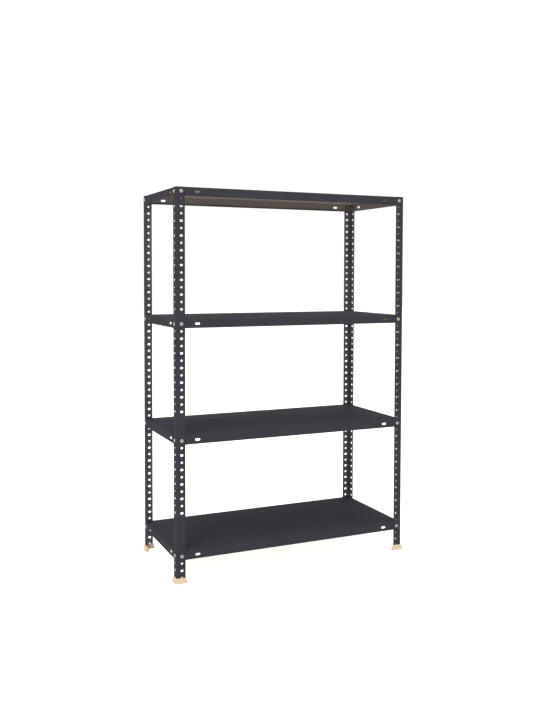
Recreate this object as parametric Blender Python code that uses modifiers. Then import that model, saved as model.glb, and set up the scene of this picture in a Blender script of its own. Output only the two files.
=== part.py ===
"""Bolted slotted-angle steel shelving: perforated uprights, tray shelves, screws with nuts and plastic feet.

Metres, +Z up, +X along the width, -Y towards the front. The origin is on the floor, under the middle.
"""

import math

import bmesh
import bpy
from mathutils import Matrix, Vector

# ---- Driving dimensions, in metres ----
SHELF_WIDTH = 0.900
SHELF_DEPTH = 0.400
SHELF_HEIGHT = 0.030
SHEET_THICKNESS = 0.0008
RETURN_LIP_WIDTH = 0.010
RETURN_LIP_END_GAP = 0.012

UPRIGHT_FLANGE = 0.032
UPRIGHT_THICKNESS = 0.0015
UPRIGHT_BEND_RADIUS = 0.002

HOLE_PITCH = 0.025
HOLE_COUNT = 54
HOLE_FROM_CORNER = 0.019
HOLE_DIAMETER = 0.008
UPRIGHT_SLOT_LENGTH = 0.011
LAST_HOLE_TO_END = 0.0125

SHELF_SLOT_LENGTH = 0.018
SHELF_SLOT_WIDTH = 0.008
SPARE_SLOT_SPACING_LONG_SIDE = 0.058
SPARE_SLOT_SPACING_SHORT_SIDE = 0.050
SHELF_HOLE_ROWS = (0, 18, 34, 50)  # rows of upright holes, counted from the top, that take the shelves

SCREW_DIAMETER = 0.006
SCREW_LENGTH = 0.012
HEAD_DIAMETER = 0.013
HEAD_HEIGHT = 0.0034
HEAD_RIM_HEIGHT = 0.0008
NUT_ACROSS_FLATS = 0.010
NUT_THICKNESS = 0.005

FOOT_HEIGHT = 0.018
FOOT_FLOOR = 0.005
FOOT_WALL_AT_TOP = 0.002
FOOT_FLARE = 0.005

FIT_GAP = 0.0003  # between pieces that touch

# ---- Mesh resolution ----
HOLE_END_SEGMENTS = 3  # facets in each half of a hole or slot
SCREW_STEPS = 12
SMOOTH_ANGLE = 40.0  # degrees; round surfaces are shaded smooth below this
BEND_SEGMENTS = 2

# ---- Sizes that follow ----
UPRIGHT_LENGTH = SHELF_HEIGHT / 2 + (HOLE_COUNT - 1) * HOLE_PITCH + LAST_HOLE_TO_END
UPRIGHT_BASE_Z = FOOT_FLOOR + FIT_GAP
UPRIGHT_TOP_Z = UPRIGHT_BASE_Z + UPRIGHT_LENGTH
CORNER_X = SHELF_WIDTH / 2 + FIT_GAP + UPRIGHT_THICKNESS  # outer corner of an upright
CORNER_Y = SHELF_DEPTH / 2 + FIT_GAP + UPRIGHT_THICKNESS
GRIP = UPRIGHT_THICKNESS + FIT_GAP + SHEET_THICKNESS  # steel that a screw clamps
NUT_START = GRIP + 2 * FIT_GAP  # from under the head to the nut's face
CUTTER_REACH = 0.004  # how far a hole cutter stands out of the steel on each side

CORNERS = {
    "front_left": (-1, -1),
    "front_right": (1, -1),
    "back_left": (-1, 1),
    "back_right": (1, 1),
}
SHELF_NAMES = ("top", "upper", "lower", "bottom")

MATERIALS = {
    "painted_steel": ((0.046, 0.042, 0.050, 1.0), 0.45, 0.0),
    "zinc_plated_steel": ((0.55, 0.53, 0.44, 1.0), 0.30, 1.0),
    "beige_plastic": ((0.80, 0.66, 0.48, 1.0), 0.55, 0.0),
}


# ---- Scene helpers ----
def clear_scene():
    for obj in list(bpy.data.objects):
        bpy.data.objects.remove(obj)


def new_collection(name):
    collection = bpy.data.collections.new(name)
    bpy.context.scene.collection.children.link(collection)
    return collection


def make_material(name):
    color, roughness, metallic = MATERIALS[name]
    material = bpy.data.materials.new(name)
    material.use_nodes = True
    shader = material.node_tree.nodes["Principled BSDF"]
    shader.inputs["Base Color"].default_value = color
    shader.inputs["Roughness"].default_value = roughness
    shader.inputs["Metallic"].default_value = metallic
    return material


def object_from(bm, name, collection, material=None):
    """Stores the bmesh as a new object, and frees it."""
    mesh = bpy.data.meshes.new(name)
    bm.to_mesh(mesh)
    bm.free()
    obj = bpy.data.objects.new(name, mesh)
    collection.objects.link(obj)
    if material:
        mesh.materials.append(material)
    return obj


def add_solidify(obj, thickness):
    solidify = obj.modifiers.new("sheet thickness", "SOLIDIFY")
    solidify.thickness = thickness
    solidify.offset = -1
    solidify.use_even_offset = True


def add_cut(obj, cutter, operation="DIFFERENCE"):
    boolean = obj.modifiers.new(operation.lower(), "BOOLEAN")
    boolean.operation = operation
    boolean.object = cutter
    boolean.solver = "EXACT"


# ---- Holes ----
def add_slot_prism(bm, center, through, length, width, reach):
    """Adds a prism with round ends, `width` high, lying along X or Y, whichever crosses `through`."""
    along = Vector((1, 0, 0)) if through.y else Vector((0, 1, 0))
    radius = width / 2 / math.cos(math.pi / 2 / HOLE_END_SEGMENTS)  # the facets touch the true circle
    straight = max(length - width, 0) / 2
    outline = []
    for end in (1, -1):
        for step in range(HOLE_END_SEGMENTS + 1):
            angle = math.pi * (step / HOLE_END_SEGMENTS - 0.5)
            if not straight and step == HOLE_END_SEGMENTS:
                continue  # a round hole's two halves share their end points
            offset = Vector((math.cos(angle) * radius + straight, math.sin(angle) * radius)) * end
            outline.append(center + along * offset.x + Vector((0, 0, offset.y)) - through * reach)
    face = bm.faces.new([bm.verts.new(point) for point in outline])
    extruded = bmesh.ops.extrude_face_region(bm, geom=[face])
    top = [item for item in extruded["geom"] if isinstance(item, bmesh.types.BMVert)]
    bmesh.ops.translate(bm, verts=top, vec=through * 2 * reach)


def make_cutter(name, collection, prisms):
    """One helper object that holds all of these (center, through, length, width, reach) prisms."""
    bm = bmesh.new()
    for center, through, length, width, reach in prisms:
        add_slot_prism(bm, center, through, length, width, reach)
    bmesh.ops.recalc_face_normals(bm, faces=bm.faces)
    cutter = object_from(bm, name, collection)
    cutter.hide_render = True
    cutter.display_type = "WIRE"
    return cutter


def hole_z(row):
    return UPRIGHT_TOP_Z - SHELF_HEIGHT / 2 - row * HOLE_PITCH


# ---- Uprights ----
def upright_outline(side_x, side_y):
    """Outer line of the angle in plan: flange end, corner, flange end."""
    corner = Vector((side_x * CORNER_X, side_y * CORNER_Y, UPRIGHT_BASE_Z))
    return (
        corner - Vector((side_x * UPRIGHT_FLANGE, 0, 0)),
        corner,
        corner - Vector((0, side_y * UPRIGHT_FLANGE, 0)),
    )


def make_upright(corner_name, material, parts, cutters):
    side_x, side_y = CORNERS[corner_name]
    bm = bmesh.new()
    verts = [bm.verts.new(point) for point in upright_outline(side_x, side_y)]
    edges = [bm.edges.new(pair) for pair in zip(verts, verts[1:])]
    extruded = bmesh.ops.extrude_edge_only(bm, edges=edges)
    top = [item for item in extruded["geom"] if isinstance(item, bmesh.types.BMVert)]
    bmesh.ops.translate(bm, verts=top, vec=(0, 0, UPRIGHT_LENGTH))
    bend = [edge for edge in bm.edges if len(edge.link_faces) == 2]
    bmesh.ops.bevel(
        bm, geom=bend, offset=UPRIGHT_BEND_RADIUS, segments=BEND_SEGMENTS, profile=0.5, affect="EDGES",
        material=-1,
    )
    for face in bm.faces:
        if face.normal.dot(Vector((side_x, side_y, 0))) < 0:
            face.normal_flip()
    upright = object_from(bm, f"upright_{corner_name}", parts, material)
    add_solidify(upright, UPRIGHT_THICKNESS)

    for label, through in (("face", Vector((0, 1, 0))), ("side", Vector((1, 0, 0)))):
        prisms = []
        for row in range(HOLE_COUNT):
            length = UPRIGHT_SLOT_LENGTH if row % 2 == 0 else HOLE_DIAMETER
            inset = Vector((HOLE_FROM_CORNER, 0, 0)) if through.y else Vector((0, HOLE_FROM_CORNER, 0))
            center = Vector((side_x * (CORNER_X - inset.x), side_y * (CORNER_Y - inset.y), hole_z(row)))
            prisms.append((center, through, length, HOLE_DIAMETER, CUTTER_REACH))
        add_cut(upright, make_cutter(f"cut_upright_{corner_name}_{label}", cutters, prisms))
    return upright


# ---- Shelves ----
def make_shelf(name, row, material, parts, cutters):
    """A tray folded from one sheet, open below, with a return lip along its two long sides."""
    slot_z = hole_z(row)
    bm = bmesh.new()
    bmesh.ops.create_cube(bm, size=1.0, matrix=Matrix.Diagonal((SHELF_WIDTH, SHELF_DEPTH, SHELF_HEIGHT, 1.0)))
    bmesh.ops.translate(bm, verts=bm.verts, vec=(0, 0, slot_z))
    bottom = [face for face in bm.faces if face.normal.z < -0.5]
    bmesh.ops.delete(bm, geom=bottom, context="FACES_ONLY")

    lip_end = SHELF_WIDTH / 2 - RETURN_LIP_END_GAP
    for x in (-lip_end, lip_end):
        bmesh.ops.bisect_plane(
            bm, geom=bm.verts[:] + bm.edges[:] + bm.faces[:], plane_co=(x, 0, 0), plane_no=(1, 0, 0)
        )
    for side_y in (-1, 1):
        fold = [
            edge
            for edge in bm.edges
            if edge.is_boundary
            and all(vert.co.y * side_y > SHELF_DEPTH / 2 - FIT_GAP for vert in edge.verts)
            and all(abs(vert.co.x) < lip_end + FIT_GAP for vert in edge.verts)
        ]
        extruded = bmesh.ops.extrude_edge_only(bm, edges=fold)
        inner = [item for item in extruded["geom"] if isinstance(item, bmesh.types.BMVert)]
        bmesh.ops.translate(bm, verts=inner, vec=(0, -side_y * RETURN_LIP_WIDTH, 0))
    bmesh.ops.recalc_face_normals(bm, faces=bm.faces)
    top_face = max(bm.faces, key=lambda face: face.calc_center_median().z)
    if top_face.normal.z < 0:
        bmesh.ops.reverse_faces(bm, faces=bm.faces)
    shelf = object_from(bm, f"shelf_{name}", parts, material)
    add_solidify(shelf, SHEET_THICKNESS)

    inset = HOLE_FROM_CORNER - UPRIGHT_THICKNESS - FIT_GAP  # in line with the uprights' holes
    for label, through, half, wall, spacing in (
        ("long", Vector((0, 1, 0)), SHELF_WIDTH / 2, SHELF_DEPTH / 2, SPARE_SLOT_SPACING_LONG_SIDE),
        ("short", Vector((1, 0, 0)), SHELF_DEPTH / 2, SHELF_WIDTH / 2, SPARE_SLOT_SPACING_SHORT_SIDE),
    ):
        prisms = []
        for side in (-1, 1):
            for end in (-1, 1):
                for along in (half - inset, half - inset - spacing):
                    if through.y:
                        center = Vector((end * along, side * wall, slot_z))
                    else:
                        center = Vector((side * wall, end * along, slot_z))
                    prisms.append((center, through, SHELF_SLOT_LENGTH, SHELF_SLOT_WIDTH, CUTTER_REACH))
        add_cut(shelf, make_cutter(f"cut_shelf_{name}_{label}", cutters, prisms))
    return shelf


# ---- Screws with their nuts ----
def make_screw_mesh(material, cutters):
    """A dome-head screw with its nut. The head's seat is at the origin and the shank runs along -Z."""
    head_radius = HEAD_DIAMETER / 2
    crown = HEAD_HEIGHT - HEAD_RIM_HEIGHT
    profile = [
        (0, HEAD_HEIGHT),
        (head_radius * 0.62, HEAD_RIM_HEIGHT + crown * 0.72),
        (head_radius, HEAD_RIM_HEIGHT),
        (head_radius, 0),
        (SCREW_DIAMETER / 2, 0),
        (SCREW_DIAMETER / 2, -SCREW_LENGTH),
        (0, -SCREW_LENGTH),
    ]
    bm = bmesh.new()
    verts = [bm.verts.new((x, 0, z)) for x, z in profile]
    for pair in zip(verts, verts[1:]):
        bm.edges.new(pair)
    screw = object_from(bm, "screw_pattern", cutters, material)
    turn = screw.modifiers.new("turned", "SCREW")
    turn.axis = "Z"
    turn.steps = SCREW_STEPS
    turn.render_steps = SCREW_STEPS
    turn.use_merge_vertices = True
    turn.merge_threshold = 0.00001

    bm = bmesh.new()
    corner_radius = NUT_ACROSS_FLATS / math.sqrt(3)
    bmesh.ops.create_cone(
        bm, cap_ends=True, segments=6, radius1=corner_radius, radius2=corner_radius, depth=NUT_THICKNESS
    )
    bmesh.ops.translate(bm, verts=bm.verts, vec=(0, 0, -NUT_START - NUT_THICKNESS / 2))
    nut = object_from(bm, "nut_pattern", cutters)
    add_cut(screw, nut, "UNION")

    for pattern in (screw, nut):
        pattern.hide_render = True
        pattern.display_type = "WIRE"
    bpy.context.view_layer.update()
    graph = bpy.context.evaluated_depsgraph_get()
    mesh = bpy.data.meshes.new_from_object(screw.evaluated_get(graph))
    mesh.shade_smooth()
    mesh.set_sharp_from_angle(angle=math.radians(SMOOTH_ANGLE))
    return mesh


def make_screws(shelf_name, row, mesh, parts):
    """Two screws at each corner of a shelf, one through each flange of the upright."""
    z = hole_z(row)
    for corner_name, (side_x, side_y) in CORNERS.items():
        for label in ("face", "side"):
            if label == "face":
                outward = Vector((0, side_y, 0))
                seat = Vector((side_x * (CORNER_X - HOLE_FROM_CORNER), side_y * (CORNER_Y + FIT_GAP), z))
            else:
                outward = Vector((side_x, 0, 0))
                seat = Vector((side_x * (CORNER_X + FIT_GAP), side_y * (CORNER_Y - HOLE_FROM_CORNER), z))
            screw = bpy.data.objects.new(f"screw_nut_{shelf_name}_{corner_name}_{label}", mesh)
            screw.location = seat
            screw.rotation_euler = outward.to_track_quat("Z", "Y").to_euler()
            parts.objects.link(screw)


# ---- Feet ----
def angle_outline(side_x, side_y, spread, z):
    """Six plan points round an upright's section, `spread` outside the steel on every side."""
    steel = UPRIGHT_THICKNESS
    flange = UPRIGHT_FLANGE
    points = (
        (-spread, -spread),
        (flange + spread, -spread),
        (flange + spread, steel + spread),
        (steel + spread, steel + spread),
        (steel + spread, flange + spread),
        (-spread, flange + spread),
    )
    return [Vector((side_x * (CORNER_X - x), side_y * (CORNER_Y - y), z)) for x, y in points]


def angle_prism(side_x, side_y, low, high, spread_low, spread_high):
    """A solid of the angle's outline whose sides lean from one spread to the other."""
    bm = bmesh.new()
    face = bm.faces.new([bm.verts.new(p) for p in angle_outline(side_x, side_y, spread_low, low)])
    extruded = bmesh.ops.extrude_face_region(bm, geom=[face])
    top = [item for item in extruded["geom"] if isinstance(item, bmesh.types.BMVert)]
    old = [p.to_2d() for p in angle_outline(side_x, side_y, spread_low, low)]
    new = angle_outline(side_x, side_y, spread_high, high)
    for vert in top:
        nearest = min(range(len(old)), key=lambda i: (old[i] - vert.co.to_2d()).length)
        vert.co = new[nearest]
    bmesh.ops.recalc_face_normals(bm, faces=bm.faces)
    return bm


def make_foot(corner_name, material, parts, cutters):
    """A plastic shoe that the upright's end pushes into."""
    side_x, side_y = CORNERS[corner_name]
    spread_at_base = FOOT_WALL_AT_TOP + FIT_GAP + FOOT_FLARE
    body = angle_prism(side_x, side_y, 0, FOOT_HEIGHT, spread_at_base, FOOT_WALL_AT_TOP + FIT_GAP)
    foot = object_from(body, f"foot_{corner_name}", parts, material)
    pocket = angle_prism(side_x, side_y, FOOT_FLOOR, FOOT_HEIGHT + CUTTER_REACH, FIT_GAP, FIT_GAP)
    cutter = object_from(pocket, f"cut_foot_{corner_name}", cutters)
    cutter.hide_render = True
    cutter.display_type = "WIRE"
    add_cut(foot, cutter)
    return foot


def main():
    clear_scene()
    parts = new_collection("bolted_steel_shelving")
    cutters = new_collection("cutters")
    steel = make_material("painted_steel")
    zinc = make_material("zinc_plated_steel")
    plastic = make_material("beige_plastic")
    for corner_name in CORNERS:
        make_upright(corner_name, steel, parts, cutters)
        make_foot(corner_name, plastic, parts, cutters)
    screw_mesh = make_screw_mesh(zinc, cutters)
    for shelf_name, row in zip(SHELF_NAMES, SHELF_HOLE_ROWS):
        make_shelf(shelf_name, row, steel, parts, cutters)
        make_screws(shelf_name, row, screw_mesh, parts)


main()
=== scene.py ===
import math

import bmesh
import bpy
from mathutils import Matrix, Vector


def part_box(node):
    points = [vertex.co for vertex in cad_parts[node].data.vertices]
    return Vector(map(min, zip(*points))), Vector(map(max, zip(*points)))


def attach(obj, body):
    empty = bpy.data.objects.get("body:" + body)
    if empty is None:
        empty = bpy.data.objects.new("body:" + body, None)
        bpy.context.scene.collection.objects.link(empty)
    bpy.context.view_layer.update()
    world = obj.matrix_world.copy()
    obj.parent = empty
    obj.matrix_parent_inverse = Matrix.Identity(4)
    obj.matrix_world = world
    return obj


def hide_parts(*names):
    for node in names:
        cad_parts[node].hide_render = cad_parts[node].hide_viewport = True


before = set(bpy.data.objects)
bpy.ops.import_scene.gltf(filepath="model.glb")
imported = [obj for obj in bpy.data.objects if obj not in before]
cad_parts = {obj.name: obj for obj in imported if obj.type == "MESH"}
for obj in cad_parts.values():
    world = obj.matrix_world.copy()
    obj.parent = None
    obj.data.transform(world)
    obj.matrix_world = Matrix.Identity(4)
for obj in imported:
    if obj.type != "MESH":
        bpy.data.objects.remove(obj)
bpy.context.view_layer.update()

mm = 0.001
nearly = 1e-6  # metres: two places closer than this count as one
weld = 0.01 * mm

corners = {"front_left": (-1, -1), "front_right": (1, -1), "back_left": (-1, 1), "back_right": (1, 1)}
levels = ("top", "upper", "lower", "bottom")


def hexToLinear(code):
    channels = [int(code[i:i + 2], 16) / 255 for i in (0, 2, 4)]
    return [c / 12.92 if c <= 0.04045 else ((c + 0.055) / 1.055) ** 2.4 for c in channels] + [1.0]


def addNode(tree, kind, settings=None, links=None):
    node = tree.nodes.new(kind)
    for name, value in (settings or {}).items():
        if isinstance(name, str) and hasattr(node, name):
            setattr(node, name, value)
        else:
            node.inputs[name].default_value = value
    for name, source in (links or {}).items():
        tree.links.new(source, node.inputs[name])
    return node


def newMaterial(name):
    material = bpy.data.materials.new(name)
    material.use_nodes = True
    return material, material.node_tree, material.node_tree.nodes["Principled BSDF"]


powderCoat = {
    # each place has two tones that wander into each other
    "outside": ("2A292F", "313037"), "edge": ("3A383C", "302F35"),
    # the two inside tones are paler, warmer copies of the paint: painted bounce light from the floor
    "insideAngleBounceLit": ("58555A", "4F4C52"), "insideTrayBounceLit": ("706863", "645C58"), "dust": "77706A",
    # sizes of the patterns, in millimetres
    "mottle": 140, "drift": 55, "scuffs": 9, "peel": 2.5,
    # where each pattern begins and is full, and how much it then covers
    "driftFrom": (0.45, 0.8), "dustMost": 0.055, "facesUp": (0.6, 1.0), "rubFrom": (0.66, 0.78),
    "rubMost": 0.10, "rubStretch": (12.0, 1.4, 12.0), "peelStrength": 0.25, "peelHeight": 0.06 * mm,
    "roughness": 0.78, "sheenBelow": 0.06, "sheenAbove": 0.08, "specular": 0.03,
}


def polyesterPowderCoat(name, tones):
    # polyester sprayed and baked on steel: near-black grey with a cool cast, matt, with a faint orange peel.
    # The inner faces take a paler, warmer tone, which is painted bounce light from the floor; at rims the
    # coat thins.
    material, tree, shader = newMaterial(name)
    spot = addNode(tree, "ShaderNodeTexCoord").outputs["Object"]
    mottle = addNode(tree, "ShaderNodeTexNoise", {
        "Scale": 1 / (powderCoat["mottle"] * mm), "Detail": 3.0,
    }, {"Vector": spot})
    paint = addNode(tree, "ShaderNodeMix", {
        "data_type": "RGBA",
        6: hexToLinear(powderCoat[tones][0]),
        7: hexToLinear(powderCoat[tones][1]),
    }, {0: mottle.outputs["Fac"]})

    # dust settles on what faces up, in soft drifts
    normal = addNode(tree, "ShaderNodeNewGeometry").outputs["Normal"]
    up = addNode(tree, "ShaderNodeSeparateXYZ", links={0: normal}).outputs["Z"]
    drift = addNode(tree, "ShaderNodeTexNoise", {
        "Scale": 1 / (powderCoat["drift"] * mm), "Detail": 5.0, "Roughness": 0.6,
    }, {"Vector": spot})
    begins, full = powderCoat["driftFrom"]
    drifted = addNode(tree, "ShaderNodeMapRange", {
        "From Min": begins, "From Max": full, "To Max": powderCoat["dustMost"],
    }, {"Value": drift.outputs["Fac"]})
    begins, full = powderCoat["facesUp"]
    upward = addNode(tree, "ShaderNodeMapRange", {"From Min": begins, "From Max": full}, {"Value": up})
    dustAmount = addNode(tree, "ShaderNodeMath", {"operation": "MULTIPLY"}, {
        0: drifted.outputs["Result"], 1: upward.outputs["Result"],
    })

    # fine rubbed marks, long and thin, left by boxes that were slid in and out
    stretched = addNode(tree, "ShaderNodeMapping", {"Scale": powderCoat["rubStretch"]}, {"Vector": spot})
    rubs = addNode(tree, "ShaderNodeTexNoise", {
        "Scale": 1 / (powderCoat["scuffs"] * mm), "Detail": 2.0,
    }, {"Vector": stretched.outputs["Vector"]})
    begins, full = powderCoat["rubFrom"]
    rubbed = addNode(tree, "ShaderNodeMapRange", {
        "From Min": begins, "From Max": full, "To Max": powderCoat["rubMost"],
    }, {"Value": rubs.outputs["Fac"]})
    marks = addNode(tree, "ShaderNodeMath", {"operation": "ADD", "use_clamp": True}, {
        0: dustAmount.outputs[0], 1: rubbed.outputs["Result"],
    })
    soiled = addNode(tree, "ShaderNodeMix", {
        "data_type": "RGBA", 7: hexToLinear(powderCoat["dust"]),
    }, {0: marks.outputs[0], 6: paint.outputs[2]})
    tree.links.new(soiled.outputs[2], shader.inputs["Base Color"])

    peel = addNode(tree, "ShaderNodeTexNoise", {
        "Scale": 1 / (powderCoat["peel"] * mm), "Detail": 2.0,
    }, {"Vector": spot})
    relief = addNode(tree, "ShaderNodeBump", {
        "Strength": powderCoat["peelStrength"], "Distance": powderCoat["peelHeight"],
    }, {"Height": peel.outputs["Fac"]})
    tree.links.new(relief.outputs["Normal"], shader.inputs["Normal"])
    sheen = addNode(tree, "ShaderNodeMapRange", {
        "To Min": powderCoat["roughness"] - powderCoat["sheenBelow"],
        "To Max": powderCoat["roughness"] + powderCoat["sheenAbove"],
    }, {"Value": drift.outputs["Fac"]})
    tree.links.new(sheen.outputs["Result"], shader.inputs["Roughness"])
    shader.inputs["Specular IOR Level"].default_value = powderCoat["specular"]
    return material


zincPlate = {
    "straw": "A89F82", "grey": "98978C", "green": "858B76", "greenUpTo": 0.34, "strawFrom": 0.66,
    "patch": 5, "grain": 0.5, "smoothest": 0.30, "dullest": 0.52,
    "grainStrength": 0.2, "grainHeight": 0.03 * mm,
}


def zincPlatedSteel():
    # cold-headed steel, zinc plated and passivated: a soft shine that wanders from grey to straw and green
    material, tree, shader = newMaterial("zincPlatedSteel")
    spot = addNode(tree, "ShaderNodeTexCoord").outputs["Object"]
    patch = addNode(tree, "ShaderNodeTexNoise", {
        "Scale": 1 / (zincPlate["patch"] * mm), "Detail": 3.0,
    }, {"Vector": spot})
    colours = addNode(tree, "ShaderNodeValToRGB", links={"Fac": patch.outputs["Fac"]})
    ramp = colours.color_ramp.elements
    ramp[0].position = zincPlate["greenUpTo"]
    ramp[0].color = hexToLinear(zincPlate["green"])
    ramp[1].position = zincPlate["strawFrom"]
    ramp[1].color = hexToLinear(zincPlate["straw"])
    middle = ramp.new(0.5)
    middle.color = hexToLinear(zincPlate["grey"])
    tree.links.new(colours.outputs["Color"], shader.inputs["Base Color"])
    shader.inputs["Metallic"].default_value = 1.0
    dull = addNode(tree, "ShaderNodeMapRange", {
        "To Min": zincPlate["smoothest"], "To Max": zincPlate["dullest"],
    }, {"Value": patch.outputs["Fac"]})
    tree.links.new(dull.outputs["Result"], shader.inputs["Roughness"])
    grain = addNode(tree, "ShaderNodeTexNoise", {
        "Scale": 1 / (zincPlate["grain"] * mm), "Detail": 2.0,
    }, {"Vector": spot})
    relief = addNode(tree, "ShaderNodeBump", {
        "Strength": zincPlate["grainStrength"], "Distance": zincPlate["grainHeight"],
    }, {"Height": grain.outputs["Fac"]})
    tree.links.new(relief.outputs["Normal"], shader.inputs["Normal"])
    return material


footPlastic = {
    "beige": "B9A891", "beigeDark": "AC9B84", "grime": "978670", "grimeHeight": 2, "grimeMost": 0.5,
    "flow": 18, "speckle": 3, "texture": 0.8, "textureStrength": 0.3, "textureHeight": 0.05 * mm,
    "roughness": 0.48, "refraction": 1.51, "lightInside": 0.12, "lightReach": 2 * mm,
}


def mouldedPolyethylene():
    # injection-moulded polyethylene: waxy beige that lets a little light in, grimy where it meets the floor
    material, tree, shader = newMaterial("mouldedPolyethylene")
    spot = addNode(tree, "ShaderNodeTexCoord").outputs["Object"]
    flow = addNode(tree, "ShaderNodeTexNoise", {
        "Scale": 1 / (footPlastic["flow"] * mm), "Detail": 2.0,
    }, {"Vector": spot})
    plastic = addNode(tree, "ShaderNodeMix", {
        "data_type": "RGBA", 6: hexToLinear(footPlastic["beige"]), 7: hexToLinear(footPlastic["beigeDark"]),
    }, {0: flow.outputs["Fac"]})
    height = addNode(tree, "ShaderNodeSeparateXYZ", links={0: spot}).outputs["Z"]
    low = addNode(tree, "ShaderNodeMapRange", {
        "From Min": 0.0, "From Max": footPlastic["grimeHeight"] * mm,
        "To Min": footPlastic["grimeMost"], "To Max": 0.0,
    }, {"Value": height})
    speckle = addNode(tree, "ShaderNodeTexNoise", {
        "Scale": 1 / (footPlastic["speckle"] * mm), "Detail": 4.0,
    }, {"Vector": spot})
    grimy = addNode(tree, "ShaderNodeMath", {"operation": "MULTIPLY"}, {
        0: low.outputs["Result"], 1: speckle.outputs["Fac"],
    })
    soiled = addNode(tree, "ShaderNodeMix", {
        "data_type": "RGBA", 7: hexToLinear(footPlastic["grime"]),
    }, {0: grimy.outputs[0], 6: plastic.outputs[2]})
    tree.links.new(soiled.outputs[2], shader.inputs["Base Color"])
    shader.inputs["Roughness"].default_value = footPlastic["roughness"]
    shader.inputs["IOR"].default_value = footPlastic["refraction"]
    shader.inputs["Subsurface Weight"].default_value = footPlastic["lightInside"]
    shader.inputs["Subsurface Scale"].default_value = footPlastic["lightReach"]
    texture = addNode(tree, "ShaderNodeTexNoise", {
        "Scale": 1 / (footPlastic["texture"] * mm), "Detail": 2.0,
    }, {"Vector": spot})
    relief = addNode(tree, "ShaderNodeBump", {
        "Strength": footPlastic["textureStrength"], "Distance": footPlastic["textureHeight"],
    }, {"Height": texture.outputs["Fac"]})
    tree.links.new(relief.outputs["Normal"], shader.inputs["Normal"])
    return material


paint = polyesterPowderCoat("polyesterPowderCoat", "outside")
paintEdge = polyesterPowderCoat("powderCoatThinAtEdges", "edge")
# paler, warmer copies for the inner faces: painted bounce light from the floor
paintedBounceInAngle = polyesterPowderCoat("powderCoatPaintedBounceInAngle", "insideAngleBounceLit")
paintedBounceInTray = polyesterPowderCoat("powderCoatPaintedBounceInTray", "insideTrayBounceLit")
zinc = zincPlatedSteel()
polyethylene = mouldedPolyethylene()
print("finishes ready")


def keepPiece(bm, name, materials, node, sharp=30):
    mesh = bpy.data.meshes.new(name)
    bm.to_mesh(mesh)
    bm.free()
    mesh.shade_smooth()
    mesh.set_sharp_from_angle(angle=math.radians(sharp))
    for material in materials:
        mesh.materials.append(material)
    piece = bpy.data.objects.new(name, mesh)
    bpy.context.scene.collection.objects.link(piece)
    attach(piece, "root")
    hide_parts(node)


ringSteps = 24
rimAngle = 50  # edges that turn by more degrees than this are broken
# the inner slot holds the paler paint that stands for painted bounce light from the floor
rimFinish, innerBounceLitSlot = 1, 2  # places in the list of a steel piece's finishes


def punchPatch(bm, centre, length, width, low, high):
    # a flat rectangle with one hole: a ring is drawn out from the hole to the rectangle's border
    middle = Vector((*centre, 0))
    turn = Matrix.Translation(middle) @ Matrix.Rotation(math.radians(180 / ringSteps), 4, "Z")
    hole = bmesh.ops.create_circle(
        bm, cap_ends=False, segments=ringSteps, radius=width / 2, matrix=turn,
    )["verts"]
    rim = list({edge for vert in hole for edge in vert.link_edges})
    drawn = bmesh.ops.extrude_edge_only(bm, edges=rim)["geom"]
    border = [item for item in drawn if isinstance(item, bmesh.types.BMVert)]
    border.sort(key=lambda vert: math.atan2(vert.co.y - middle.y, vert.co.x - middle.x))
    around = ((low[0], low[1]), (high[0], low[1]), (high[0], high[1]), (low[0], high[1]))
    box = [Vector((x, y, 0)) for x, y in around]
    side = ringSteps // 4
    for i, vert in enumerate(border):
        k = (i - side // 2) % ringSteps
        vert.co = box[k // side].lerp(box[(k // side + 1) % 4], k % side / side)
    straight = max(length - width, 0) / 2
    for vert in hole:
        vert.co.x += straight if vert.co.x > middle.x else -straight


def edgesWhere(bm, test):
    return [edge for edge in bm.edges if all(test(vert.co) for vert in edge.verts)]


def spinEdges(bm, edges, cent, axis, angle, steps):
    verts = list({vert for edge in edges for vert in edge.verts})
    return bmesh.ops.spin(
        bm, geom=verts + edges, cent=cent, axis=axis, dvec=(0, 0, 0), angle=math.radians(angle),
        steps=steps, use_merge=False, use_normal_flip=False, use_duplicate=False,
    )["geom_last"]


def thicken(bm, outward, thickness):
    # the sheet's outer skin points outward and the steel grows behind it
    bmesh.ops.remove_doubles(bm, verts=bm.verts, dist=weld)
    bmesh.ops.recalc_face_normals(bm, faces=bm.faces)
    bm.faces.ensure_lookup_table()
    if outward(bm) < 0:
        bmesh.ops.reverse_faces(bm, faces=bm.faces)
    outside = set(bm.faces)
    bmesh.ops.solidify(bm, geom=bm.faces[:], thickness=thickness)
    # the inner skin gets the paler tone of painted bounce light
    for face in set(bm.faces) - outside:
        face.material_index = innerBounceLitSlot


def breakEdges(bm, offset):
    rims = [
        edge for edge in bm.edges
        if len(edge.link_faces) == 2 and edge.calc_face_angle() > math.radians(rimAngle)
    ]
    cut = bmesh.ops.bevel(
        bm, geom=rims, offset=offset, offset_type="OFFSET", segments=1, profile=0.5, affect="EDGES",
        material=-1, clamp_overlap=True,
    )
    for face in cut["faces"]:
        face.material_index = rimFinish


def mirrorTo(bm, sideX, sideY, place):
    bm.transform(Matrix.Translation(place) @ Matrix.Diagonal((-sideX, -sideY, 1, 1)))
    if sideX * sideY < 0:
        bmesh.ops.reverse_faces(bm, faces=bm.faces)


upright = {
    "flange": 32 * mm, "thickness": 1.5 * mm, "bend": 2.0 * mm, "bendSteps": 4, "pitch": 25 * mm,
    "rows": 54, "topMargin": 15 * mm, "fromCorner": 19 * mm, "roundHole": 8.0 * mm, "slot": 11.0 * mm,
    "edgeBreak": 0.25 * mm,
}


def outerCorner(corner):
    low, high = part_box("upright_" + corner)
    sideX, sideY = corners[corner]
    return Vector((high[0] if sideX > 0 else low[0], high[1] if sideY > 0 else low[1], 0))


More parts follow.
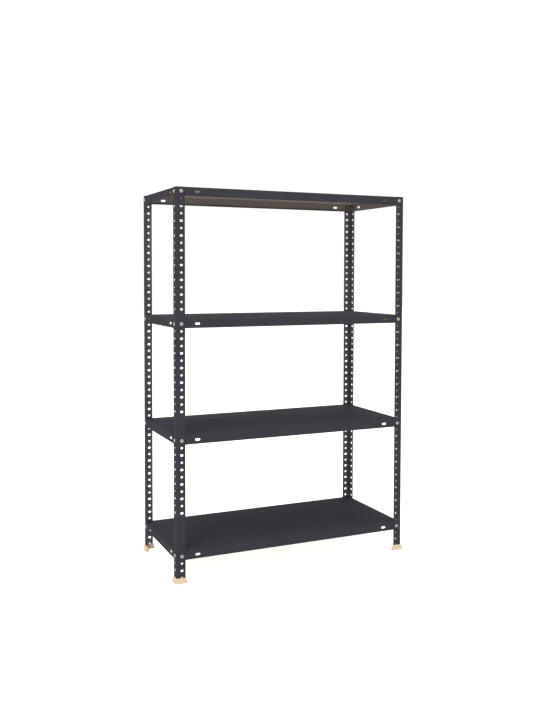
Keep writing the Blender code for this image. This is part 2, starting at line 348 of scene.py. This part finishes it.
def makeUpright(corner):
    # one flange is punched flat and swapped over to make the other; the fold then joins the two
    low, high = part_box("upright_" + corner)
    bend = upright["bend"]
    bm = bmesh.new()
    for row in range(upright["rows"]):
        z = high[2] - upright["topMargin"] - row * upright["pitch"]
        top = high[2] if row == 0 else z + upright["pitch"] / 2
        bottom = low[2] if row == upright["rows"] - 1 else z - upright["pitch"] / 2
        length = upright["slot"] if row % 2 == 0 else upright["roundHole"]
        centre = (upright["fromCorner"], z)
        punchPatch(bm, centre, length, upright["roundHole"], (bend, bottom), (upright["flange"], top))
    bmesh.ops.rotate(bm, verts=bm.verts, cent=(0, 0, 0), matrix=Matrix.Rotation(math.pi / 2, 3, "X"))
    twin = bmesh.ops.duplicate(bm, geom=bm.verts[:] + bm.edges[:] + bm.faces[:])["geom"]
    swap = Matrix(((0, 1, 0, 0), (1, 0, 0, 0), (0, 0, 1, 0), (0, 0, 0, 1)))
    moved = [item for item in twin if isinstance(item, bmesh.types.BMVert)]
    bmesh.ops.transform(bm, matrix=swap, verts=moved)
    fold = edgesWhere(bm, lambda co: abs(co.x - bend) < nearly and abs(co.y) < nearly)
    spinEdges(bm, fold, (bend, bend, 0), (0, 0, 1), -90, upright["bendSteps"])

    def outward(mesh):
        return -sum(face.normal.y for face in mesh.faces if abs(face.calc_center_median().y) < nearly)

    thicken(bm, outward, upright["thickness"])
    breakEdges(bm, upright["edgeBreak"])
    mirrorTo(bm, *corners[corner], outerCorner(corner))
    node = "upright_" + corner
    keepPiece(bm, node + "_steel", (paint, paintEdge, paintedBounceInAngle), node)


for corner in corners:
    makeUpright(corner)
print("uprights ready")


shelf = {
    "sheet": 0.8 * mm, "fold": 1.6 * mm, "foldSteps": 4, "lip": 10 * mm, "lipEndGap": 12 * mm,
    "slot": 18 * mm, "slotWidth": 8.0 * mm, "fromEnd": 17.2 * mm, "spareLong": 58 * mm,
    "spareShort": 50 * mm, "pastSpare": 30 * mm, "edgeBreak": 0.15 * mm,
}


def foldedSide(bm, half, wall, spare, bottom, top, turn, lip):
    # one side, punched flat, with its top fold and, on a long side, its return lip
    old = set(bm.verts)
    fold = shelf["fold"]
    end = half - fold
    screwAt = half - shelf["fromEnd"]
    spareAt = screwAt - spare
    inner = spareAt - shelf["pastSpare"]
    between = (screwAt + spareAt) / 2
    middle = (bottom + top) / 2
    low = bottom + fold if lip else bottom
    high = top - fold
    for side in (-1, 1):
        for at, a, b in ((screwAt, between, end), (spareAt, inner, between)):
            left, right = sorted((side * a, side * b))
            centre = (side * at, middle)
            punchPatch(bm, centre, shelf["slot"], shelf["slotWidth"], (left, low), (right, high))
    fresh = [vert for vert in bm.verts if vert not in old]
    bmesh.ops.remove_doubles(bm, verts=fresh, dist=weld)
    fresh = {vert for vert in bm.verts if vert not in old}
    ends = [
        edge for edge in bm.edges
        if edge.verts[0] in fresh
        and all(abs(abs(vert.co.x) - inner) < nearly for vert in edge.verts)
        and abs(edge.verts[0].co.x - edge.verts[1].co.x) < nearly
    ]
    bmesh.ops.bridge_loops(bm, edges=ends)
    fresh = [vert for vert in bm.verts if vert not in old]
    bmesh.ops.rotate(bm, verts=fresh, cent=(0, 0, 0), matrix=Matrix.Rotation(math.pi / 2, 3, "X"))
    bmesh.ops.translate(bm, verts=fresh, vec=(0, -wall, 0))

    def borderAt(z, reach):
        def onBorder(co):
            return abs(co.z - z) < nearly and abs(co.y + wall) < nearly and abs(co.x) < reach

        return [edge for edge in edgesWhere(bm, onBorder) if edge.verts[0] not in old]

    spinEdges(bm, borderAt(high, half), (0, fold - wall, high), (1, 0, 0), -90, shelf["foldSteps"])
    if lip:
        reach = half - shelf["lipEndGap"]
        inside = borderAt(low, reach)
        outside = [edge for edge in borderAt(low, half) if edge not in inside]
        last = spinEdges(bm, inside, (0, fold - wall, low), (1, 0, 0), 90, shelf["foldSteps"])
        folded = [item for item in last if isinstance(item, bmesh.types.BMEdge)]
        grown = bmesh.ops.extrude_edge_only(bm, edges=folded)
        tips = [item for item in grown["geom"] if isinstance(item, bmesh.types.BMVert)]
        bmesh.ops.translate(bm, verts=tips, vec=(0, shelf["lip"] - fold, 0))
        grown = bmesh.ops.extrude_edge_only(bm, edges=outside)
        tips = [item for item in grown["geom"] if isinstance(item, bmesh.types.BMVert)]
        bmesh.ops.translate(bm, verts=tips, vec=(0, 0, -fold))
    fresh = [vert for vert in bm.verts if vert not in old]
    bmesh.ops.rotate(bm, verts=fresh, cent=(0, 0, 0), matrix=Matrix.Rotation(math.radians(turn), 3, "Z"))


def makeShelf(level):
    low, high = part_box("shelf_" + level)
    halfX, halfY = high[0], high[1]
    bm = bmesh.new()
    for turn in (0, 180):
        foldedSide(bm, halfX, halfY, shelf["spareLong"], low[2], high[2], turn, True)
    for turn in (-90, 90):
        foldedSide(bm, halfY, halfX, shelf["spareShort"], low[2], high[2], turn, False)
    bmesh.ops.remove_doubles(bm, verts=bm.verts, dist=weld)
    border = [edge for edge in edgesWhere(bm, lambda co: abs(co.z - high[2]) < nearly) if edge.is_boundary]
    bmesh.ops.edgeloop_fill(bm, edges=border)

    def outward(mesh):
        return max(mesh.faces, key=lambda face: face.calc_area()).normal.z

    thicken(bm, outward, shelf["sheet"])
    breakEdges(bm, shelf["edgeBreak"])
    node = "shelf_" + level
    keepPiece(bm, node + "_tray", (paint, paintEdge, paintedBounceInTray), node)


for level in levels:
    makeShelf(level)
print("shelves ready")


screw = {
    "head": 13 * mm, "headHeight": 3.4 * mm, "rim": 0.8 * mm, "rimBreak": 0.15 * mm, "domeStep": 15,
    "thread": 6 * mm, "root": 5.1 * mm, "pitch": 1.0 * mm, "length": 12 * mm, "tip": 1.1 * mm,
    "tipBreak": 0.2 * mm, "steps": 28, "weld": 0.005 * mm, "turnStep": 37,
    "crossLength": 5.4 * mm, "crossWidth": 1.15 * mm, "crossDepth": 1.9 * mm, "crossTaper": 0.62,
    "punchHeight": 4 * mm, "nutAcross": 10 * mm, "nutThick": 5 * mm, "nutFrom": 3.2 * mm,
    "nutChamfer": 0.45 * mm, "nutInset": 0.8 * mm, "nutCornerBreak": 0.25 * mm, "threadInNut": 0.2 * mm,
}


def turnedScrew():
    bm = bmesh.new()
    radius = screw["head"] / 2
    crown = screw["headHeight"] - screw["rim"]
    thread = screw["thread"] / 2
    root = screw["root"] / 2
    profile = []
    for degrees in range(0, 91, screw["domeStep"]):
        angle = math.radians(degrees)
        profile.append((radius * math.sin(angle), screw["rim"] + crown * math.cos(angle)))
    profile += [(radius, screw["rimBreak"]), (radius - screw["rimBreak"], 0), (thread, 0)]
    z = -(screw["nutFrom"] + screw["nutThick"] - screw["threadInNut"])
    profile.append((thread, z))
    while z > -screw["length"] + screw["tip"]:  # only the thread past the nut can be seen
        profile += [(root, z - screw["pitch"] / 2), (thread, z - screw["pitch"])]
        z -= screw["pitch"]
    profile += [(root - screw["tipBreak"], -screw["length"]), (0, -screw["length"])]
    line = [bm.verts.new((x, 0, z)) for x, z in profile]
    edges = [bm.edges.new(pair) for pair in zip(line, line[1:])]
    bmesh.ops.spin(
        bm, geom=line + edges, cent=(0, 0, 0), axis=(0, 0, 1), dvec=(0, 0, 0), angle=math.tau,
        steps=screw["steps"], use_merge=True, use_normal_flip=False, use_duplicate=False,
    )
    bmesh.ops.remove_doubles(bm, verts=bm.verts, dist=screw["weld"])
    bmesh.ops.recalc_face_normals(bm, faces=bm.faces)
    return bm


def crossPunch():
    bm = bmesh.new()
    height = screw["punchHeight"]
    middle = (0, 0, screw["headHeight"] - screw["crossDepth"] + height / 2)
    for turn in (0, math.pi / 2):
        place = Matrix.Rotation(turn, 4, "Z") @ Matrix.Translation(middle)
        size = Matrix.Diagonal((screw["crossLength"], screw["crossWidth"], height, 1))
        made = bmesh.ops.create_cube(bm, size=1.0, matrix=place @ size)["verts"]
        for vert in made:  # the wings close in towards the bottom of the recess
            if vert.co.z < screw["headHeight"]:
                vert.co.xy *= screw["crossTaper"]
    return bm


def headedScrew():
    body = bpy.data.meshes.new("screwBody")
    cutter = bpy.data.meshes.new("crossPunch")
    for maker, mesh in ((turnedScrew, body), (crossPunch, cutter)):
        bm = maker()
        bm.to_mesh(mesh)
        bm.free()
    blank = bpy.data.objects.new("screwBlank", body)
    punch = bpy.data.objects.new("crossPunch", cutter)
    for obj in (blank, punch):
        bpy.context.scene.collection.objects.link(obj)
    cut = blank.modifiers.new("cross recess", "BOOLEAN")
    cut.object = punch
    cut.operation = "DIFFERENCE"
    cut.use_self = True
    bpy.context.view_layer.update()
    made = bpy.data.meshes.new_from_object(blank.evaluated_get(bpy.context.evaluated_depsgraph_get()))
    made.materials.clear()
    for obj in (blank, punch):
        bpy.data.objects.remove(obj)
    return made


def addNut(bm):
    nut = bmesh.new()
    corner = screw["nutAcross"] / math.sqrt(3)
    bmesh.ops.create_cone(
        nut, cap_ends=True, segments=6, radius1=corner, radius2=corner, depth=screw["nutThick"],
    )
    for side in (-1, 1):
        cap = max(nut.faces, key=lambda face: side * face.normal.z)
        outer = list(cap.verts)
        bmesh.ops.inset_region(nut, faces=[cap], thickness=screw["nutInset"])
        bmesh.ops.translate(nut, verts=outer, vec=(0, 0, -side * screw["nutChamfer"]))
    cornerEdges = [
        edge for edge in nut.edges
        if abs(edge.verts[0].co.z - edge.verts[1].co.z) > screw["nutThick"] / 2
    ]
    bmesh.ops.bevel(
        nut, geom=cornerEdges, offset=screw["nutCornerBreak"], segments=2, profile=0.5,
        affect="EDGES", material=-1,
    )
    bmesh.ops.translate(nut, verts=nut.verts, vec=(0, 0, -screw["nutFrom"] - screw["nutThick"] / 2))
    mesh = bpy.data.meshes.new("nut")
    nut.to_mesh(mesh)
    nut.free()
    bm.from_mesh(mesh)
    bpy.data.meshes.remove(mesh)


def makeScrew(pattern, level, corner, flange, turn):
    node = "screw_nut_" + level + "_" + corner + "_" + flange
    low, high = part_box(node)
    sideX, sideY = corners[corner]
    outward = Vector((0, sideY, 0)) if flange == "face" else Vector((sideX, 0, 0))
    seat = (Vector(low) + Vector(high)) / 2
    for i in (0, 1):
        if outward[i]:
            seat[i] = (high[i] if outward[i] > 0 else low[i]) - outward[i] * screw["headHeight"]
    bm = bmesh.new()
    bm.from_mesh(pattern)
    bmesh.ops.rotate(bm, verts=bm.verts, cent=(0, 0, 0), matrix=Matrix.Rotation(math.radians(turn), 3, "Z"))
    addNut(bm)
    bm.transform(Matrix.Translation(seat) @ outward.to_track_quat("Z", "Y").to_matrix().to_4x4())
    keepPiece(bm, node + "_zinc", (zinc,), node, sharp=35)


pattern = headedScrew()
turn = 0
for level in levels:
    for corner in corners:
        for flange in ("face", "side"):
            makeScrew(pattern, level, corner, flange, turn)
            turn += screw["turnStep"]  # each was driven home to its own angle
print("screws and nuts ready")


foot = {
    # height and how far the plastic stands outside the steel, in millimetres, from the floor up
    "layers": (
        (0.0, 6.8), (0.5, 7.3), (1.6, 7.3), (2.4, 7.0), (8.6, 3.6), (10.4, 3.1), (17.3, 2.5), (18.0, 2.1),
    ),
    "gap": 0.25, "pocketFloor": 5.05, "round": 1.4,
}


def angleOutline(spread, z):
    flange, steel, s = upright["flange"], upright["thickness"], spread * mm
    points = (
        (-s, -s), (flange + s, -s), (flange + s, steel + s),
        (steel + s, steel + s), (steel + s, flange + s), (-s, flange + s),
    )
    return [Vector((x, y, z * mm)) for x, y in points]


def drawOut(bm, face, fromSpread, toSpread, z):
    before = [vert.to_2d() for vert in angleOutline(fromSpread, 0)]
    after = angleOutline(toSpread, z)
    made = bmesh.ops.extrude_face_region(bm, geom=[face])["geom"]
    if z > foot["layers"][1][0]:  # only the first face stays, as the sole
        bmesh.ops.delete(bm, geom=[face], context="FACES_ONLY")
    ring = [item for item in made if isinstance(item, bmesh.types.BMVert)]
    for vert in ring:
        nearest = min(range(6), key=lambda i: (before[i] - vert.co.to_2d()).length)
        vert.co = after[nearest]
    return next(item for item in made if isinstance(item, bmesh.types.BMFace)), ring


def makeFoot(corner):
    # a shoe of the upright's own L section: a thin collar that sweeps out to a wider sole
    bm = bmesh.new()
    z, spread = foot["layers"][0]
    skin = [bm.verts.new(point) for point in angleOutline(spread, z)]
    face = bm.faces.new(skin)
    for z, wider in foot["layers"][1:]:
        face, ring = drawOut(bm, face, spread, wider, z)
        skin += ring
        spread = wider
    # the pocket for the steel: in across the top, then down to its floor
    face, ring = drawOut(bm, face, spread, foot["gap"], z)
    drawOut(bm, face, foot["gap"], foot["gap"], foot["pocketFloor"])
    bmesh.ops.recalc_face_normals(bm, faces=bm.faces)
    skin = set(skin)
    posts = [
        edge for edge in bm.edges
        if all(vert in skin for vert in edge.verts) and abs(edge.verts[0].co.z - edge.verts[1].co.z) > weld
    ]
    bmesh.ops.bevel(
        bm, geom=posts, offset=foot["round"] * mm, segments=4, profile=0.5, affect="EDGES", material=-1,
    )
    mirrorTo(bm, *corners[corner], outerCorner(corner))
    node = "foot_" + corner
    keepPiece(bm, node + "_shoe", (polyethylene,), node, sharp=38)


for corner in corners:
    makeFoot(corner)
print("feet ready")


studio = {
    "floor": "BAB8B5", "floorSecond": "BEBCB9", "floorSize": 40, "floorBelow": 0.2 * mm,
    "floorGlow": "FFFBF7", "floorGlowStrength": 0.93,  # paper lit from below, as on a light table
    "world": "FFFFFF", "horizon": 1.05, "overhead": 0.95, "overheadBand": (0.32, 0.75),
    "aim": (0, 0, 0.65),
    "lights": (
        # name, place, size, power, colour
        ("softFront", (-3.0, -3.2, 3.9), 2.6, 190, "FFF9F4"),
        ("softRight", (4.2, -1.6, 2.6), 2.6, 25, "F0F4FF"),
        ("softTop", (0.0, 0.2, 4.6), 3.5, 150, "FCFCFF"),
    ),
}


def layFloor():
    bm = bmesh.new()
    bmesh.ops.create_grid(bm, x_segments=1, y_segments=1, size=studio["floorSize"] / 2)
    bmesh.ops.translate(bm, verts=bm.verts, vec=(0, 0, -studio["floorBelow"]))
    mesh = bpy.data.meshes.new("studioFloor")
    bm.to_mesh(mesh)
    bm.free()
    floor = bpy.data.objects.new("studioFloor", mesh)
    bpy.context.scene.collection.objects.link(floor)
    material, tree, shader = newMaterial("paleStudioFloor")  # seamless paper, matte
    spot = addNode(tree, "ShaderNodeTexCoord").outputs["Object"]
    fibre = addNode(tree, "ShaderNodeTexNoise", {"Scale": 3.0, "Detail": 2.0}, {"Vector": spot})
    tone = addNode(tree, "ShaderNodeMix", {
        "data_type": "RGBA", 6: hexToLinear(studio["floor"]), 7: hexToLinear(studio["floorSecond"]),
    }, {0: fibre.outputs["Fac"]})
    tree.links.new(tone.outputs[2], shader.inputs["Base Color"])
    shader.inputs["Roughness"].default_value = 0.9
    shader.inputs["Specular IOR Level"].default_value = 0.1
    shader.inputs["Emission Color"].default_value = hexToLinear(studio["floorGlow"])
    shader.inputs["Emission Strength"].default_value = studio["floorGlowStrength"]
    mesh.materials.append(material)


def hangLights():
    for name, place, size, power, colour in studio["lights"]:
        lamp = bpy.data.lights.new(name, "AREA")
        lamp.shape = "SQUARE"
        lamp.size = size
        lamp.energy = power
        lamp.color = hexToLinear(colour)[:3]
        light = bpy.data.objects.new(name, lamp)
        light.location = place
        towards = Vector(studio["aim"]) - Vector(place)
        light.rotation_euler = towards.to_track_quat("-Z", "Y").to_euler()
        bpy.context.scene.collection.objects.link(light)


def paintWorld():
    # a pale room: bright round the horizon and softer overhead
    world = bpy.data.worlds.new("paleRoom")
    bpy.context.scene.world = world
    world.use_nodes = True
    tree = world.node_tree
    tree.nodes.clear()
    direction = addNode(tree, "ShaderNodeTexCoord").outputs["Generated"]
    height = addNode(tree, "ShaderNodeSeparateXYZ", links={0: direction}).outputs["Z"]
    begins, full = studio["overheadBand"]
    strength = addNode(tree, "ShaderNodeMapRange", {
        "From Min": begins, "From Max": full, "To Min": studio["horizon"], "To Max": studio["overhead"],
    }, {"Value": height})
    sky = addNode(tree, "ShaderNodeBackground", {
        "Color": hexToLinear(studio["world"]),
    }, {"Strength": strength.outputs["Result"]})
    addNode(tree, "ShaderNodeOutputWorld", links={"Surface": sky.outputs["Background"]})


camera = {
    "place": (-1.3133, -2.9094, 1.0628), "yaw": 24.514, "tilt": 2.385, "roll": 0.145,
    "lens": 42.018, "sensor": 36, "shiftY": -0.0679,
}


def setCamera():
    yaw, tilt, roll = (math.radians(camera[key]) for key in ("yaw", "tilt", "roll"))
    ahead = Vector((math.sin(yaw) * math.cos(tilt), math.cos(yaw) * math.cos(tilt), -math.sin(tilt)))
    right = Vector((math.cos(yaw), -math.sin(yaw), 0))
    up = right.cross(ahead)
    rightRolled = right * math.cos(roll) + up * math.sin(roll)
    upRolled = up * math.cos(roll) - right * math.sin(roll)
    data = bpy.data.cameras.new("camera")
    data.sensor_fit = "AUTO"
    data.sensor_width = camera["sensor"]
    data.lens = camera["lens"]
    data.shift_y = camera["shiftY"]
    data.clip_end = 100
    obj = bpy.data.objects.new("camera", data)
    basis = Matrix((rightRolled, upRolled, -ahead)).transposed().to_4x4()
    obj.matrix_world = Matrix.Translation(camera["place"]) @ basis
    bpy.context.scene.collection.objects.link(obj)
    bpy.context.scene.camera = obj


layFloor()
hangLights()
paintWorld()
setCamera()
bpy.context.scene.view_settings.view_transform = "Standard"
print("studio ready")

bpy.context.view_layer.update()
